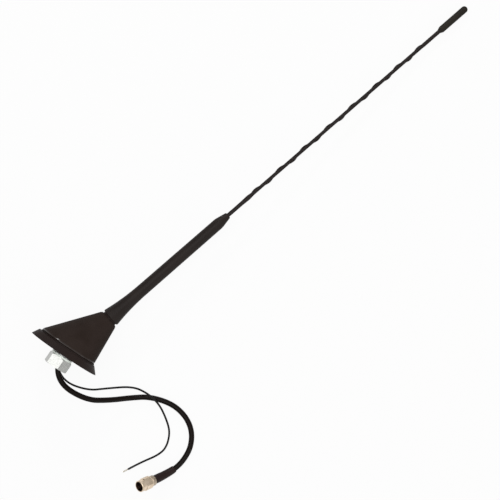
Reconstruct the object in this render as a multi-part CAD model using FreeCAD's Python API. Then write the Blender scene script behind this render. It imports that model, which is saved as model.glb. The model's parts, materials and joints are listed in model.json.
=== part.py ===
import FreeCAD, Part
import math
import os

# Car roof antenna with a screw-on rod mast, lying on its side on a flat surface.
# Millimetres. Every piece is drawn upright: the origin of that upright frame is the centre of the
# gasket's underside, +Z is the normal of the car roof and +X points to the rear of the base.
# The last step lays the whole antenna down: the gasket's rim and the tip cap touch the surface.

V = FreeCAD.Vector
UP = V(0, 0, 1)

# Clearances
running_fit = 0.05        # turning or sliding pieces
seat_fit = 0.05           # a piece pushed or moulded into another
open_gap = 0.3            # pieces that pass each other freely

# Mast
mast_length = 410.0       # foot of the grip to the end of the tip cap
mast_lean = 14.6          # degrees from the roof's normal, towards the rear
mast_foot_height = 47.8   # centre of the grip's foot above the gasket's underside
mast_foot_rear = 15.55    # the same point behind the gasket's centre

grip_foot_radius = 8.25
grip_foot_band = 1.6
grip_flare_length = 34.4
grip_neck_radius = 5.25
grip_top_radius = 4.97
grip_length = 134.0
grip_nose_length = 10.5
grip_nose_radius = 2.75
grip_foot_chamfer = 0.4

ferrule_radius = 4.6
ferrule_length = 15.0
ferrule_flange_radius = 5.4
ferrule_flange_thickness = 1.0
ferrule_groove_depth = 0.5
ferrule_rod_socket = 7.0
stud_thread_radius = 2.5
stud_thread_length = 10.0

rod_radius = 1.15
rod_end_gap = 8.0         # rod's end below the end of the tip cap
sleeve_bore_radius = 1.2
sleeve_radius = 1.42
sleeve_end_radius = 1.6
sleeve_in_grip = 4.0
sleeve_in_cap = 5.0
sleeve_lower_thick_end = 15.0
sleeve_upper_thick_end = 18.5
winding_bulge_radius = 1.95
winding_bulge_above_grip = 22.5
winding_bulge_half_length = 6.5
winding_wire_radius = 0.38
winding_pitch = 27.0
winding_end_below_cap = 19.05
winding_points_per_turn = 12
winding_start_angle = 145.0

cap_length = 32.2
cap_radius = 2.97
cap_cone_length = 2.6
cap_mouth_radius = 1.9

# Sealing ring under the mast
seal_radius = 7.1
seal_bore_radius = 3.0
seal_thickness = 1.5

# Threaded insert in the top of the cover
socket_radius = 5.0
socket_length = 16.0
socket_thread_depth = 12.0
socket_groove_depth = 0.6

# Cover: plan sizes are the front reach, the rear reach and the half width
side_bow = 2.1            # radius of an oval's sides over its half width
cover_wall = 2.2
cover_foot = (26.8, 26.3, 23.4)
cover_band_top = (26.0, 26.2, 23.1)
cover_band_height = 2.1
cover_foot_rounding = 1.2
cover_rounding_steps = 4
cover_shoulder_radius = 9.2
cover_shoulder_drop = 1.2
cover_top_radius = 8.1
cover_cavity_drop = 5.0
socket_boss_radius = 7.2
socket_boss_length = 15.0
cover_boss_radius = 3.2
cover_boss_height = 12.5
cover_screw_front = -18.5
cover_screw_rear = 19.8
cover_rib_thickness = 1.6
cover_screw_radius = 1.5
cover_screw_length = 10.5
screw_head_radius = 2.8
screw_head_height = 1.5

# Gasket
gasket_foot = (32.7, 32.7, 28.5)
gasket_shoulder = (29.2, 27.5, 24.6)
gasket_ledge = (27.0, 26.6, 23.7)
gasket_shoulder_height = 6.0
gasket_height = 7.1
gasket_floor = 2.5
gasket_window_radius = 12.0
gasket_lip_groove = 0.7
gasket_lip_width = 1.6
gasket_lip_inset = 3.2

# Base plate with the hollow stud
plate_inset = 2.7         # edge of the plate inside the edge of the cover's foot
plate_thickness = 3.0
hub_radius = 11.6
hub_lift = 0.3
roof_stud_radius = 7.0
roof_stud_end = 11.5      # below the gasket's underside
stud_bore_radius = 5.0
stud_bore_chamfer = 0.8
post_radius = 2.5
post_height = 5.5
board_hole_front = -9.5
board_hole_rear = 12.0
board_hole_side = 12.0
board_screw_radius = 1.0
board_screw_length = 5.0
board_screw_head_radius = 1.9
board_screw_head_height = 1.3

# Circuit board and what stands on it
board_front = -13.0
board_rear = 15.5
board_half_width = 15.5
board_thickness = 1.6
board_corner_radius = 2.0
can_length = 13.0
can_width = 14.0
can_height = 4.5
can_wall = 0.4
can_front = -8.0
choke_radius = 3.2
choke_waist_radius = 2.4
choke_height = 6.0
choke_place = (11.0, -6.0)
capacitor_radius = 2.5
capacitor_height = 6.5
capacitor_places = ((0.5, 10.5), (7.0, 10.5))
strip_width = 5.0
strip_thickness = 0.4
strip_foot_length = 4.0
strip_pad_length = 6.0

# Cable bush in the base plate
bush_radius = 6.4
bush_height = 3.2

# Toothed washer and hexagon nut under the roof
washer_radius = 9.9
washer_bore_radius = 7.3
washer_thickness = 1.7
washer_tooth_height = 0.5
washer_teeth = 12
washer_tooth_width = 1.6
washer_top_drop = 1.6     # tops of the teeth below the gasket's underside
nut_flats = 19.3
nut_height = 9.6
nut_chamfer = 1.1
nut_turn = -102.0         # direction that one flat faces, degrees from the rear of the base

# Leads, upright frame: where each passes down the stud's bore
coax_radius = 2.4
coax_in_bore = (-1.8, -0.8)
coax_first_bend = -7.6
wire_radius = 0.8
wire_in_bore = (-1.7, 3.2)
wire_first_bend = -9.7

# Leads outside, lying frame: plan offsets from the stud's end and the height above the surface,
# chosen by hand along the photographed curves
coax_route = (
    (-8.8, -14.8, 28.2),
    (-1.1, -39.9, 22.2),
    (11.8, -52.6, 12.0),
    (27.4, -64.2, 3.2),
    (39.6, -73.8, 2.4),
    (50.1, -90.8, 2.4),
    (52.2, -106.4, 2.4),
    (48.3, -119.8, 2.4),
    (38.8, -129.8, 2.4),
    (27.6, -134.4, 2.4),
    (16.3, -135.8, 2.5),
)
wire_route = (
    (-5.4, -15.0, 23.0),
    (4.2, -34.3, 14.6),
    (16.8, -43.8, 6.6),
    (34.3, -57.2, 2.6),
    (41.0, -70.3, 9.0),
    (42.3, -84.2, 9.0),
    (37.5, -98.7, 2.4),
    (32.3, -109.1, 0.9),
    (21.3, -116.9, 0.9),
    (11.2, -117.0, 0.9),
    (-3.8, -112.0, 0.9),
    (-16.3, -109.1, 0.9),
)
strand_length = 5.0
strand_radius = 0.2

# Connector on the coax, measured back from its mouth
connector_mouth = (-15.5, -125.4, 25.6)   # plan offset from the stud's end and height
connector_turn = 157.8    # plan direction that the mouth faces, degrees from the mast's direction
connector_rise = 43.0     # degrees that the mouth points up
connector_run = 11.8      # coax in line with the connector, up to the route's last corner
connector_length = 16.8
coupling_collar_length = 4.6
coupling_collar_radius = 4.85
coupling_hex_flats = 9.8
coupling_hex_length = 7.2
coupling_length = 13.2
coupling_skirt_radius = 4.7
coupling_mouth_radius = 4.3
coupling_thread_radius = 4.0
coupling_thread_length = 7.0
coupling_room_radius = 4.2
coupling_neck_radius = 3.3
coupling_lip_length = 1.5
jack_flange_radius = 3.7
jack_flange_length = 2.2
jack_collar_radius = 3.9
jack_bore_radius = 2.6
contact_radius = 1.1
contact_bore_radius = 0.45
contact_bore_depth = 4.5
clip_radius = 3.6
clip_thickness = 0.5
crimp_radius = 3.3
crimp_length = 6.0
shrink_radius = 3.75
shrink_middle_radius = 3.3
shrink_thin_radius = 2.85


def turned(path):
    """Solid turned about +Z from a closed outline of (radius, height) points.
    A triple ("arc", (r, z), (r, z)) goes to its last point through its middle one."""
    edges = []
    start = V(path[0][0], 0, path[0][1])
    here = start
    for item in path[1:]:
        if item[0] == "arc":
            middle = V(item[1][0], 0, item[1][1])
            there = V(item[2][0], 0, item[2][1])
            edges.append(Part.Arc(here, middle, there).toShape())
        else:
            there = V(item[0], 0, item[1])
            edges.append(Part.makeLine(here, there))
        here = there
    edges.append(Part.makeLine(here, start))
    return Part.Face(Part.Wire(edges)).revolve(V(0, 0, 0), UP, 360)


def ring(inner, outer, low, high):
    """Plain ring or, with no inner radius, plain disc between two heights."""
    disc = Part.makeCylinder(outer, high - low, V(0, 0, low))
    if inner <= 0:
        return disc
    return disc.cut(Part.makeCylinder(inner, high - low + 2, V(0, 0, low - 1)))


def hexagon(flats, low, high, turn, chamfer):
    """Hexagon bar with its corners turned off at both ends; turn is a flat's direction."""
    corner = flats / math.sqrt(3)
    points = []
    for i in range(7):
        angle = math.radians(turn + 30 + 60 * i)
        points.append(V(corner * math.cos(angle), corner * math.sin(angle), low))
    bar = Part.Face(Part.makePolygon(points)).extrude(V(0, 0, high - low))
    face_radius = corner - chamfer
    slope = chamfer * 0.6
    turned_corner = turned(
        (
            (0, low),
            (face_radius, low),
            (corner, low + slope),
            (corner, high - slope),
            (face_radius, high),
            (0, high),
        )
    )
    return bar.common(turned_corner)


def oval(plan, height, grow=0.0):
    """Four tangent arcs: plan is (front reach, rear reach, half width), grow moves the line out."""
    front, rear, half_width = (side + grow for side in plan)
    half_length = (front + rear) / 2
    middle = (rear - front) / 2
    side_radius = side_bow * half_width
    end_radius = 2 * half_width * side_radius - half_length**2 - half_width**2
    end_radius = end_radius / (2 * (side_radius - half_length))
    end_centre = half_length - end_radius
    angle = math.atan2(side_radius - half_width, end_centre)
    join_x = end_centre + end_radius * math.cos(angle)
    join_y = end_radius * math.sin(angle)

    def at(x, y):
        return V(middle + x, y, height)

    return Part.Wire(
        [
            Part.Arc(at(join_x, -join_y), at(half_length, 0), at(join_x, join_y)).toShape(),
            Part.Arc(at(join_x, join_y), at(0, half_width), at(-join_x, join_y)).toShape(),
            Part.Arc(at(-join_x, join_y), at(-half_length, 0), at(-join_x, -join_y)).toShape(),
            Part.Arc(at(-join_x, -join_y), at(0, -half_width), at(join_x, -join_y)).toShape(),
        ]
    )


def oval_split_angle(plan):
    """Angle from +X at which an oval's end arc meets its side arc."""
    wire = oval(plan, 0)
    corner = wire.Edges[0].Vertexes[-1].Point
    middle = (plan[1] - plan[0]) / 2
    return math.atan2(abs(corner.y), corner.x - middle)


def slab(plan, low, high, grow=0.0):
    """Straight-sided oval block between two heights."""
    return Part.Face(oval(plan, low, grow)).extrude(V(0, 0, high - low))


def mast_placement():
    """Puts a piece that was drawn along +Z from the foot of the grip on the leaning mast."""
    foot = V(mast_foot_rear, 0, mast_foot_height)
    return FreeCAD.Placement(foot, FreeCAD.Rotation(V(0, 1, 0), mast_lean))


def on_mast(shape):
    moved = shape.copy()
    moved.Placement = mast_placement().multiply(moved.Placement)
    return moved


def mast_circle(radius, along):
    """Circle round the mast's axis in four arcs that match the four arcs of the cover's foot."""
    place = mast_placement()
    split = oval_split_angle(cover_foot)

    def at(angle):
        local = V(radius * math.cos(angle), radius * math.sin(angle), along)
        return place.multVec(local)

    half = math.pi / 2
    return Part.Wire(
        [
            Part.Arc(at(-split), at(0), at(split)).toShape(),
            Part.Arc(at(split), at(half), at(math.pi - split)).toShape(),
            Part.Arc(at(math.pi - split), at(math.pi), at(math.pi + split)).toShape(),
            Part.Arc(at(math.pi + split), at(3 * half), at(-split)).toShape(),
        ]
    )


# Heights that several pieces share
cover_top = -(seal_thickness + 2 * running_fit)
plate_top = gasket_floor + plate_thickness
board_bottom = plate_top + post_height
board_top = board_bottom + board_thickness
sleeve_start = grip_length - sleeve_in_grip
winding_bulge_height = grip_length + winding_bulge_above_grip
winding_start = winding_bulge_height + winding_bulge_half_length
cap_start = mast_length - cap_length
winding_end = cap_start - winding_end_below_cap
sleeve_end = cap_start + sleeve_in_cap
rod_end = mast_length - rod_end_gap
rod_start = ferrule_length - ferrule_rod_socket
jack_end = connector_length - 1.0
insulator_face = coupling_thread_length
insulator_end = connector_length - 3.0
crimp_flats = 2 * crimp_radius * math.cos(math.radians(30))
plate_plan = tuple(side - plate_inset for side in cover_foot)
winding_half_step = math.pi / winding_points_per_turn
winding_radius = (sleeve_radius + winding_wire_radius + 0.01) / math.cos(winding_half_step)


def mast_grip():
    """Moulded rubber grip: flared foot, long body and cone nose."""
    flare_top = grip_foot_band + grip_flare_length
    rise = grip_foot_radius - grip_neck_radius
    flare_radius = (grip_flare_length**2 + rise**2) / (2 * rise)
    half = grip_flare_length / 2
    flare_middle = grip_neck_radius + flare_radius - math.sqrt(flare_radius**2 - half**2)
    nose_start = grip_length - grip_nose_length
    body = turned(
        (
            (0, 0),
            (grip_foot_radius - grip_foot_chamfer, 0),
            (grip_foot_radius, grip_foot_chamfer),
            (grip_foot_radius, grip_foot_band),
            ("arc", (flare_middle, grip_foot_band + half), (grip_neck_radius, flare_top)),
            (grip_top_radius, nose_start),
            (grip_nose_radius, grip_length),
            (0, grip_length),
        )
    )
    shoulder = []
    nose = []
    for edge in body.Edges:
        if edge.Closed and abs(edge.BoundBox.ZMin - nose_start) < 0.01:
            shoulder.append(edge)
        elif edge.Closed and edge.BoundBox.ZMin > grip_length - 0.01:
            nose.append(edge)
    body = body.makeFillet(18.0, shoulder)
    nose = [edge for edge in body.Edges if edge.Closed and edge.BoundBox.ZMin > grip_length - 0.01]
    body = body.makeFillet(1.0, nose)
    rod_room = ring(0, rod_radius + seat_fit, ferrule_length, grip_length)
    sleeve_room = ring(0, sleeve_end_radius + seat_fit, sleeve_start - seat_fit, grip_length + 1)
    ferrule_room = ring(0, ferrule_radius + seat_fit, -1, ferrule_length + seat_fit)
    flange_room = ring(0, ferrule_flange_radius + seat_fit, -1, ferrule_flange_thickness + seat_fit)
    for room in (rod_room, sleeve_room, ferrule_room, flange_room):
        body = body.cut(room)
    return body


def mast_ferrule():
    """Brass ferrule in the grip's foot with the mast's threaded stud and a blind rod socket."""
    groove = ferrule_radius - ferrule_groove_depth
    third = ferrule_length / 3
    body = turned(
        (
            (0, -stud_thread_length),
            (stud_thread_radius - 0.5, -stud_thread_length),
            (stud_thread_radius, 0.5 - stud_thread_length),
            (stud_thread_radius, 0),
            (ferrule_flange_radius, 0),
            (ferrule_flange_radius, ferrule_flange_thickness),
            (ferrule_radius, ferrule_flange_thickness),
            (ferrule_radius, third),
            (groove, third + ferrule_groove_depth),
            (groove, 2 * third - ferrule_groove_depth),
            (ferrule_radius, 2 * third),
            (ferrule_radius, ferrule_length),
            (0, ferrule_length),
        )
    )
    return body.cut(ring(0, rod_radius + seat_fit, rod_start - seat_fit, ferrule_length + 1))


def whip_rod():
    """Glass-fibre rod from the ferrule to the tip cap."""
    return ring(0, rod_radius, rod_start, rod_end)


def whip_sleeve():
    """Shrunk sleeve on the rod: thicker at both ends, with a bulge over the winding's close turns."""
    bulge_low = winding_bulge_height - winding_bulge_half_length
    bulge_high = winding_bulge_height + winding_bulge_half_length
    low_thick = grip_length + sleeve_lower_thick_end
    high_thick = cap_start - sleeve_upper_thick_end
    return turned(
        (
            (sleeve_bore_radius, sleeve_start),
            (sleeve_end_radius, sleeve_start),
            (sleeve_end_radius, min(low_thick, bulge_low)),
            (
                "arc",
                (winding_bulge_radius, winding_bulge_height),
                (sleeve_radius, bulge_high),
            ),
            (sleeve_radius, high_thick),
            (sleeve_end_radius, high_thick + 2),
            (sleeve_end_radius, sleeve_end),
            (sleeve_bore_radius, sleeve_end),
        )
    )


def whip_winding():
    """Radiator wire wound on the sleeve in one open helix, as short straight lengths."""
    turns = (winding_end - winding_start) / winding_pitch
    count = round(turns * winding_points_per_turn)
    points = []
    for i in range(count + 1):
        angle = math.radians(winding_start_angle + 360 * turns * i / count)
        height = winding_start + (winding_end - winding_start) * i / count
        points.append(V(winding_radius * math.cos(angle), winding_radius * math.sin(angle), height))
    path = Part.makePolygon(points)
    section = Part.Wire(Part.makeCircle(winding_wire_radius, points[0], points[1] - points[0]))
    sweep = Part.BRepOffsetAPI.MakePipeShell(path)
    sweep.setTransitionMode(1)
    sweep.add(section)
    sweep.build()
    sweep.makeSolid()
    return sweep.shape()


def tip_cap():
    """Rubber cap with a cone mouth, a round end and a stepped blind hole."""
    shoulder = mast_length - cap_radius
    bend = cap_radius * math.sqrt(0.5)
    body = turned(
        (
            (0, cap_start),
            (cap_mouth_radius, cap_start),
            (cap_radius, cap_start + cap_cone_length),
            (cap_radius, shoulder),
            ("arc", (bend, shoulder + bend), (0, mast_length)),
        )
    )
    sleeve_room = ring(0, sleeve_end_radius + seat_fit, cap_start - 1, sleeve_end + seat_fit)
    return body.cut(sleeve_room).cut(ring(0, rod_radius + seat_fit, cap_start, rod_end + seat_fit))


def mast_seal():
    """Rubber ring that the foot of the mast presses on the cover."""
    return ring(seal_bore_radius, seal_radius, cover_top + running_fit, -running_fit)


def mast_socket():
    """Threaded brass insert that takes the mast, with one retaining groove."""
    low = cover_top - socket_length
    middle = cover_top - socket_length / 2
    groove = socket_radius - socket_groove_depth
    body = turned(
        (
            (0, low),
            (socket_radius, low),
            (socket_radius, middle - 2),
            (groove, middle - 2 + socket_groove_depth),
            (groove, middle + 2 - socket_groove_depth),
            (socket_radius, middle + 2),
            (socket_radius, cover_top),
            (0, cover_top),
        )
    )
    hole = stud_thread_radius + running_fit
    return body.cut(ring(0, hole, cover_top - socket_thread_depth, cover_top + 1))


def base_cover():
    """Moulded shell: a leaning cone from an oval foot to a round top, with its bosses inside."""
    foot = gasket_height
    shoulder = cover_top - cover_shoulder_drop
    rounding = []
    for i in range(cover_rounding_steps + 1):
        angle = math.radians(90 * i / cover_rounding_steps)
        inset = cover_foot_rounding * (1 - math.sin(angle))
        height = foot + cover_foot_rounding * (1 - math.cos(angle))
        rounding.append(oval(cover_foot, height, -inset))
    outside = Part.makeLoft(
        rounding
        + [
            oval(cover_band_top, foot + cover_band_height),
            mast_circle(cover_shoulder_radius, shoulder),
            mast_circle(cover_top_radius, cover_top),
        ],
        True,
        True,
    )
    inside = Part.makeLoft(
        [
            oval(cover_foot, foot - 1, -cover_wall),
            oval(cover_band_top, foot + cover_band_height, -cover_wall),
            mast_circle(cover_shoulder_radius - cover_wall, shoulder - cover_cavity_drop),
        ],
        True,
        True,
    )
    shell = outside.cut(inside)
    boss = on_mast(ring(0, socket_boss_radius, cover_top - socket_boss_length, cover_top - 1))
    shell = shell.fuse(boss.common(outside))
    within = outside.fuse(slab(plate_plan, plate_top, foot + 1))
    for place in (cover_screw_front, cover_screw_rear):
        pillar = Part.makeCylinder(
            cover_boss_radius, cover_boss_height, V(place, 0, plate_top)
        )
        shell = shell.fuse(pillar.common(within))
        reach = max(cover_foot[:2])
        start = place if place > 0 else place - reach
        rib = Part.makeBox(
            reach,
            cover_rib_thickness,
            cover_boss_height - gasket_height + plate_top,
            V(start, -cover_rib_thickness / 2, gasket_height),
        )
        shell = shell.fuse(rib.common(outside))
        pilot = Part.makeCylinder(
            cover_screw_radius + seat_fit, cover_screw_length, V(place, 0, gasket_floor)
        )
        shell = shell.cut(pilot)
    bore = ring(0, socket_radius + seat_fit, cover_top - socket_boss_length - 1, cover_top + 1)
    return shell.cut(on_mast(bore))


def base_gasket():
    """Rubber seat: sloping skirt, ledge for the cover, pocket for the plate and a sealing groove."""
    skirt = Part.makeLoft(
        [oval(gasket_foot, 0), oval(gasket_shoulder, gasket_shoulder_height)], True, True
    )
    body = skirt.fuse(slab(gasket_ledge, gasket_shoulder_height - 1, gasket_height))
    body = body.cut(slab(plate_plan, gasket_floor, gasket_height + 1, open_gap))
    body = body.cut(ring(0, gasket_window_radius, -1, gasket_floor + 1))
    groove = slab(gasket_foot, -1, gasket_lip_groove, -gasket_lip_inset)
    groove = groove.cut(slab(gasket_foot, -2, 2, -gasket_lip_inset - gasket_lip_width))
    return body.cut(groove)


def base_plate():
    """Die-cast plate with the hub and hollow threaded stud below and four posts above."""
    plate = slab(plate_plan, gasket_floor, plate_top)
    plate = plate.fuse(ring(0, hub_radius, hub_lift, gasket_floor + 1))
    stud = turned(
        (
            (0, -roof_stud_end),
            (roof_stud_radius - 0.6, -roof_stud_end),
            (roof_stud_radius, 0.6 - roof_stud_end),
            (roof_stud_radius, gasket_floor),
            (0, gasket_floor),
        )
    )
    plate = plate.fuse(stud)
    for x in (board_hole_front, board_hole_rear):
        for y in (-board_hole_side, board_hole_side):
            foot = V(x, y, plate_top - 0.5)
            plate = plate.fuse(Part.makeCylinder(post_radius, post_height + 0.5, foot))
            hole = V(x, y, plate_top)
            pilot = Part.makeCylinder(board_screw_radius + seat_fit, post_height + 1, hole)
            plate = plate.cut(pilot)
    for place in (cover_screw_front, cover_screw_rear):
        shank = V(place, 0, gasket_floor - 1)
        plate = plate.cut(Part.makeCylinder(cover_screw_radius + seat_fit, 9, shank))
        depth = screw_head_height + 1 + seat_fit
        plate = plate.cut(Part.makeCylinder(screw_head_radius + seat_fit, depth, shank))
    plate = plate.cut(ring(0, stud_bore_radius, -roof_stud_end - 1, plate_top + 1))
    mouth = stud_bore_radius + stud_bore_chamfer
    chamfer = Part.makeCone(mouth, stud_bore_radius, stud_bore_chamfer, V(0, 0, -roof_stud_end))
    plate = plate.cut(chamfer)
    return plate.cut(ring(0, bush_radius + seat_fit, plate_top - bush_height / 2, plate_top + 1))


def cable_bush():
    """Rubber bush round both leads at the top of the stud's bore."""
    low = plate_top - bush_height / 2
    body = ring(0, bush_radius, low, low + bush_height)
    for place, radius in ((coax_in_bore, coax_radius), (wire_in_bore, wire_radius)):
        hole = Part.makeCylinder(radius + seat_fit, bush_height + 2, V(place[0], place[1], low - 1))
        body = body.cut(hole)
    return body


def screw(place, low, shank_radius, length, head_radius, head_height, head_up):
    """Plain screw: the shank starts at low and the head is at its upper or lower end."""
    shank = Part.makeCylinder(shank_radius, length, V(place[0], place[1], low))
    head_low = low + length if head_up else low
    head = Part.makeCylinder(head_radius, head_height, V(place[0], place[1], head_low))
    return shank.fuse(head).removeSplitter()


def cover_screws():
    """Two screws from below through the plate into the cover's bosses."""
    return [
        screw(
            (place, 0),
            gasket_floor,
            cover_screw_radius,
            cover_screw_length - seat_fit,
            screw_head_radius,
            screw_head_height,
            False,
        )
        for place in (cover_screw_front, cover_screw_rear)
    ]


def board_screws():
    """Four screws through the board into the posts."""
    return [
        screw(
            (x, y),
            board_top - board_screw_length,
            board_screw_radius,
            board_screw_length,
            board_screw_head_radius,
            board_screw_head_height,
            True,
        )
        for x in (board_hole_front, board_hole_rear)
        for y in (-board_hole_side, board_hole_side)
    ]


def amplifier_board():
    """Circuit board on the posts."""
    length = board_rear - board_front
    corner = V(board_front, -board_half_width, board_bottom)
    board = Part.makeBox(length, 2 * board_half_width, board_thickness, corner)
    uprights = [edge for edge in board.Edges if abs(edge.BoundBox.ZLength - board_thickness) < 0.01]
    board = board.makeFillet(board_corner_radius, uprights)
    for x in (board_hole_front, board_hole_rear):
        for y in (-board_hole_side, board_hole_side):
            hole = V(x, y, board_bottom - 1)
            board = board.cut(Part.makeCylinder(board_screw_radius + 0.15, board_thickness + 2, hole))
    return board


def shield_can():
    """Folded tin can over the amplifier, open to the board."""
    corner = V(can_front, -can_width / 2, board_top)
    can = Part.makeBox(can_length, can_width, can_height, corner)
    room = Part.makeBox(
        can_length - 2 * can_wall,
        can_width - 2 * can_wall,
        can_height - can_wall,
        corner + V(can_wall, can_wall, 0),
    )
    return can.cut(room)


def choke_coil():
    """Drum-core choke on the board."""
    flange = choke_height / 5
    body = turned(
        (
            (0, 0),
            (choke_radius, 0),
            (choke_radius, flange),
            (choke_waist_radius, flange),
            (choke_waist_radius, choke_height - flange),
            (choke_radius, choke_height - flange),
            (choke_radius, choke_height),
            (0, choke_height),
        )
    )
    body.translate(V(choke_place[0], choke_place[1], board_top))
    return body


def capacitors():
    """Round capacitors on the board."""
    cans = []
    for place in capacitor_places:
        can = ring(0, capacitor_radius, 0, capacitor_height)
        can.translate(V(place[0], place[1], board_top))
        cans.append(can)
    return cans


def contact_strip():
    """Bent metal strip from the board up to the underside of the threaded insert."""
    place = mast_placement()
    under = cover_top - socket_length
    pad = Part.makeBox(
        strip_pad_length,
        strip_width,
        strip_thickness,
        V(-strip_pad_length / 2, -strip_width / 2, under - strip_thickness),
    )
    pad = on_mast(pad)
    pad_end = place.multVec(V(-strip_pad_length / 2, 0, under - strip_thickness / 2))
    leg = Part.makeBox(
        strip_thickness,
        strip_width,
        pad_end.z - board_top,
        V(pad_end.x, -strip_width / 2, board_top),
    )
    foot = Part.makeBox(
        strip_foot_length,
        strip_width,
        strip_thickness,
        V(pad_end.x, -strip_width / 2, board_top),
    )
    return leg.fuse(foot).fuse(pad)


def tooth_washer():
    """Washer with raised teeth that bite into the roof's underside."""
    low = -(washer_top_drop + washer_tooth_height + washer_thickness)
    body = ring(washer_bore_radius, washer_radius, low, low + washer_thickness)
    tooth_start = washer_bore_radius + 0.6
    length = washer_radius - tooth_start - 0.4
    half = washer_tooth_width / 2
    for i in range(washer_teeth):
        profile = Part.makePolygon(
            [
                V(tooth_start, -half, low + washer_thickness - 0.1),
                V(tooth_start, half, low + washer_thickness - 0.1),
                V(tooth_start, half, low + washer_thickness),
                V(tooth_start, 0, -washer_top_drop),
                V(tooth_start, -half, low + washer_thickness),
                V(tooth_start, -half, low + washer_thickness - 0.1),
            ]
        )
        tooth = Part.Face(profile).extrude(V(length, 0, 0))
        tooth.rotate(V(0, 0, 0), UP, 360 * i / washer_teeth)
        body = body.fuse(tooth)
    return body


def roof_nut():
    """Hexagon nut on the hollow stud."""
    top = -(washer_top_drop + washer_tooth_height + washer_thickness + running_fit)
    body = hexagon(nut_flats, top - nut_height, top, nut_turn, nut_chamfer)
    hole = roof_stud_radius + running_fit
    countersink = Part.makeCone(hole + 0.7, hole, 0.7, V(0, 0, top - nut_height))
    return body.cut(ring(0, hole, top - nut_height - 1, top + 1)).cut(countersink)


def lay_down():
    """Placement from the upright frame to the lying one: gasket rim and tip cap on the surface."""
    lean = math.radians(mast_lean)
    flat = FreeCAD.Matrix(
        math.sin(lean), 0, math.cos(lean), 0,
        -math.cos(lean), 0, math.sin(lean), 0,
        0, -1, 0, 0,
        0, 0, 0, 1,
    )
    rim = gasket_foot[2]
    tip = mast_placement().multVec(V(0, 0, mast_length - cap_radius))
    reach = tip.x * math.sin(lean) + tip.z * math.cos(lean)
    tilt = math.acos(cap_radius / math.hypot(rim, reach)) - math.atan2(reach, rim)
    tilted = FreeCAD.Placement(V(0, 0, 0), FreeCAD.Rotation(V(0, 1, 0), math.degrees(tilt)))
    raised = FreeCAD.Placement(V(0, 0, rim * math.cos(tilt)), FreeCAD.Rotation())
    return raised.multiply(tilted).multiply(FreeCAD.Placement(flat))


def tube_path(points):
    """Straight runs joined by tangent arcs: each radius is 0.45 of the shorter run, divided by
    the tangent of half the turn. Returns the wire and the arcs' radii."""
    edges = []
    radii = []
    here = points[0]
    for before, corner, after in zip(points, points[1:], points[2:]):
        run_in = corner - before
        run_out = after - corner
        turn = run_in.getAngle(run_out)
        reach = 0.45 * min(run_in.Length, run_out.Length)
        radius = reach / math.tan(turn / 2)
        radii.append(round(radius, 1))
        back = V(run_in).normalize()
        ahead = V(run_out).normalize()
        enter = corner - back * reach
        leave = corner + ahead * reach
        inward = (ahead - back).normalize()
        middle = corner + inward * (radius / math.cos(turn / 2) - radius)
        edges.append(Part.makeLine(here, enter))
        edges.append(Part.Arc(enter, middle, leave).toShape())
        here = leave
    edges.append(Part.makeLine(here, points[-1]))
    return Part.Wire(edges), radii


def swept(points, radius):
    """Round tube along a path, with its radii and length."""
    path, radii = tube_path(points)
    section = Part.Wire(Part.makeCircle(radius, points[0], points[1] - points[0]))
    return path.makePipeShell([section], True, False), radii, path.Length


def connector_axis():
    turn = math.radians(connector_turn)
    rise = math.radians(connector_rise)
    flat = math.cos(rise)
    return V(flat * math.cos(turn), flat * math.sin(turn), math.sin(rise))


def mouth_point(lying):
    """Centre of the connector's mouth in the lying frame."""
    exit_point = lying.multVec(V(0, 0, -roof_stud_end))
    x, y, z = connector_mouth
    return V(exit_point.x + x, exit_point.y + y, z)


def lead_points(bore, first_bend, top, route, lying):
    """Points of a lead in the lying frame: down the bore, then along its route."""
    exit_point = lying.multVec(V(0, 0, -roof_stud_end))
    points = [lying.multVec(V(bore[0], bore[1], top)), lying.multVec(V(bore[0], bore[1], first_bend))]
    points += [V(exit_point.x + x, exit_point.y + y, z) for x, y, z in route]
    return points


def coax_points(lying):
    """The coax route, then up to the back of the connector along the connector's own axis."""
    points = lead_points(coax_in_bore, coax_first_bend, board_bottom, coax_route, lying)
    back = mouth_point(lying) - connector_axis() * jack_end
    return points + [back - connector_axis() * connector_run, back]


def connector_placement(lying):
    """Connector pieces are drawn along +Z back from the mouth."""
    return FreeCAD.Placement(mouth_point(lying), FreeCAD.Rotation(UP, connector_axis() * -1))


def coupling_nut():
    """Free-turning nut: round collar, hexagon, turned skirt and a lip behind the jack's flange."""
    hex_end = coupling_collar_length + coupling_hex_length
    collar = ring(0, coupling_collar_radius, 0, coupling_collar_length)
    collar = collar.makeChamfer(0.3, [edge for edge in collar.Edges if edge.BoundBox.ZMax < 0.01])
    bar = hexagon(coupling_hex_flats, coupling_collar_length, hex_end, 0, 0.4)
    skirt = ring(0, coupling_skirt_radius, hex_end, coupling_length)
    body = collar.fuse(bar).fuse(skirt)
    mouth = Part.makeCone(coupling_mouth_radius, coupling_thread_radius, 0.4)
    room_end = coupling_length - coupling_lip_length
    thread = ring(0, coupling_thread_radius, 0, coupling_thread_length)
    room = ring(0, coupling_room_radius, coupling_thread_length, room_end)
    neck = ring(0, coupling_neck_radius, room_end - 1, coupling_length + 1)
    return body.cut(mouth).cut(thread).cut(room).cut(neck)


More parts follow.
